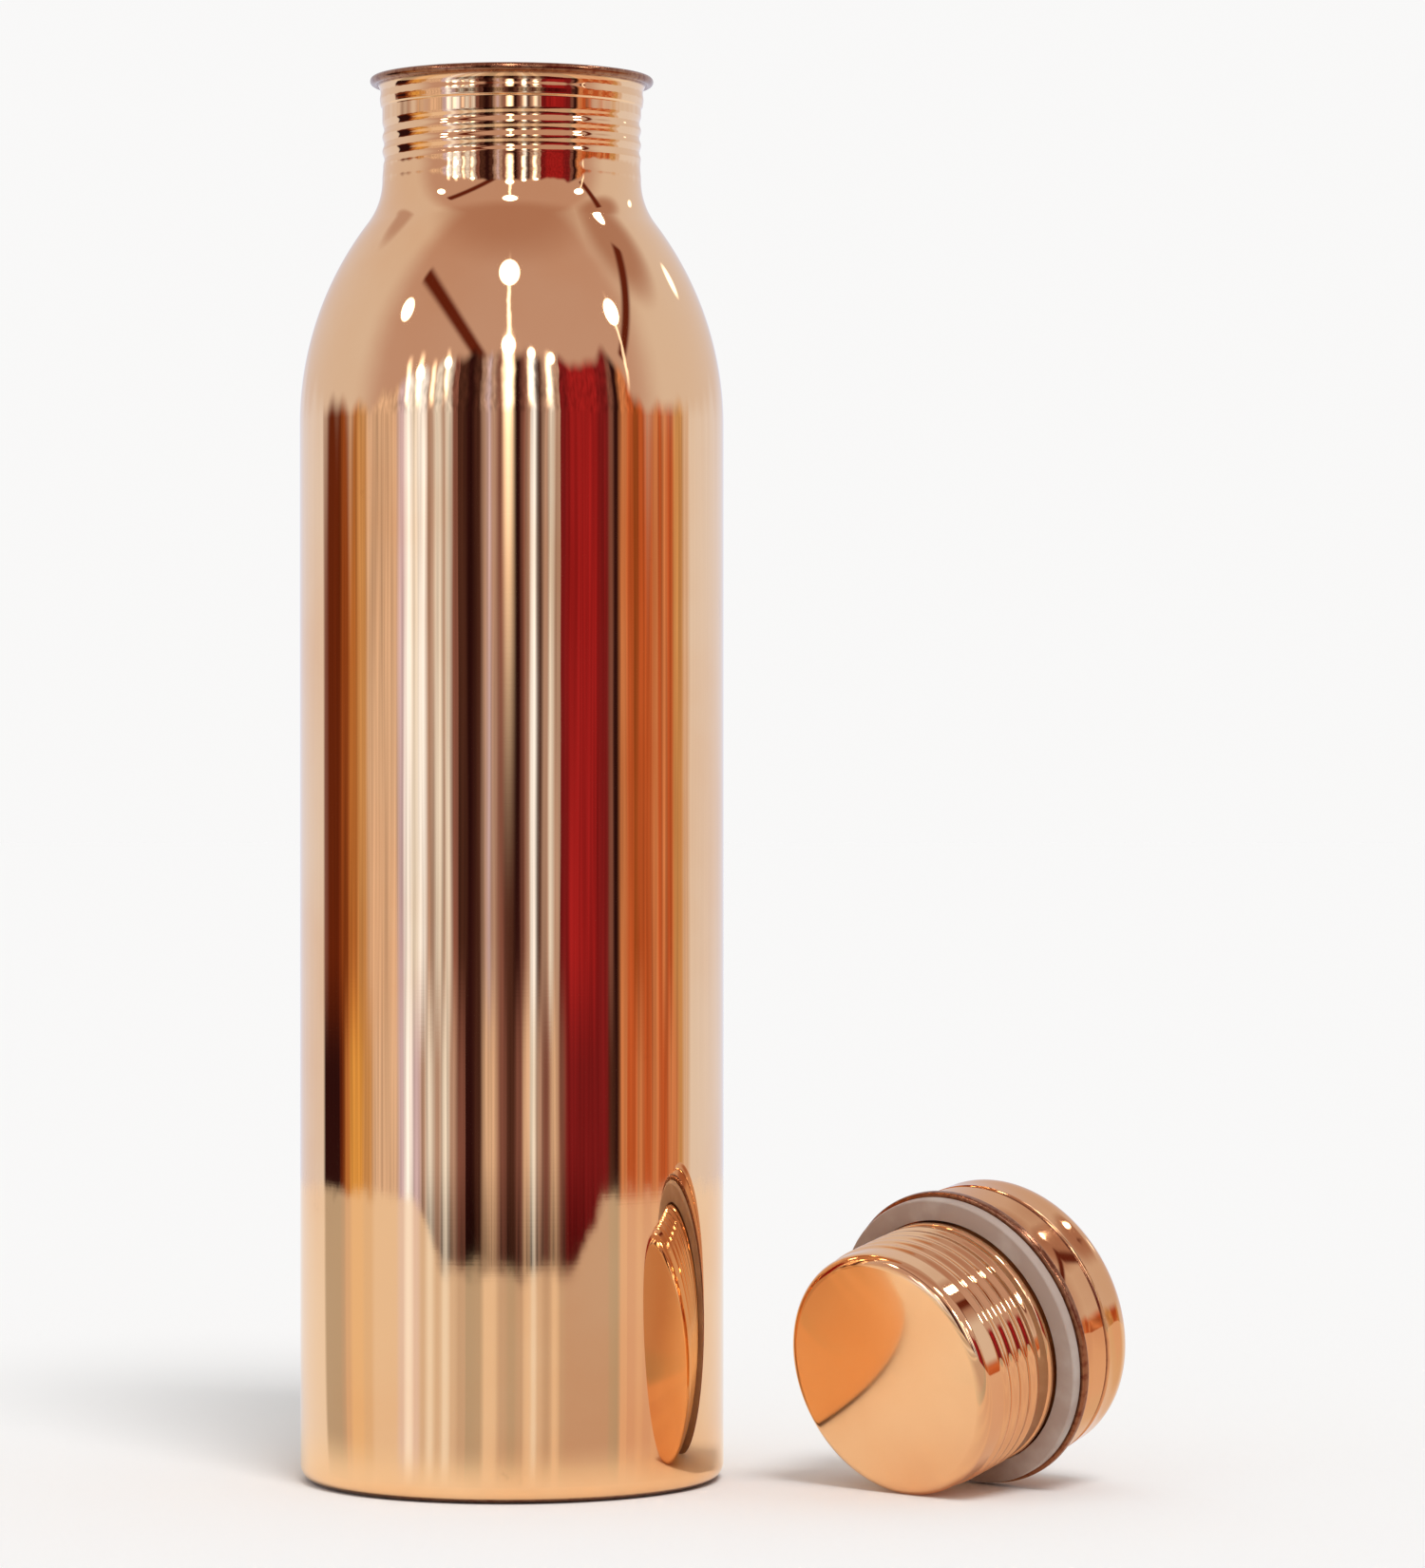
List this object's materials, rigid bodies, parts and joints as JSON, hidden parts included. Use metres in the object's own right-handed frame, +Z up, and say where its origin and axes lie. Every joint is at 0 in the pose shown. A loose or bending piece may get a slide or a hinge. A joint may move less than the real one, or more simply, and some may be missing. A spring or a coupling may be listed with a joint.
{
  "type": "water bottle",
  "caption": "Tall seamless copper water bottle with a short threaded neck and rolled lip, standing open beside its screw cap with threaded plug and silicone ring.",
  "frame": {"origin": "centre of the bottle's foot ring, on the surface that the bottle stands on", "axes": "+Z up along the bottle's axis; +X from the bottle towards the cap that lies beside it; +Y away from the viewer of the picture"},
  "size_m": [0.1413, 0.0771, 0.2415],
  "materials": {
    "polished_copper": "mirror polished copper",
    "plug_copper": "polished copper, rolled thread",
    "knob_copper": "mirror polished copper",
    "silicone": "matte grey silicone"
  },
  "bodies": {
    "bottle": {"bottle": "polished_copper"},
    "gasket": {"gasket": "silicone"},
    "cap": {"plug": "plug_copper", "knob": "knob_copper"}
  },
  "joints": [
    {"name": "cap_lift", "type": "slide", "parent": "bottle", "child": "gasket", "axis": [0, 0, 1], "range_m": [0, 0.25]},
    {"name": "cap_turn", "type": "hinge", "parent": "gasket", "child": "cap", "pos_m": [0.076, -0.013, 0.02477], "axis": [0.65, 0.7219, 0.2373], "continuous": true}
  ]
}
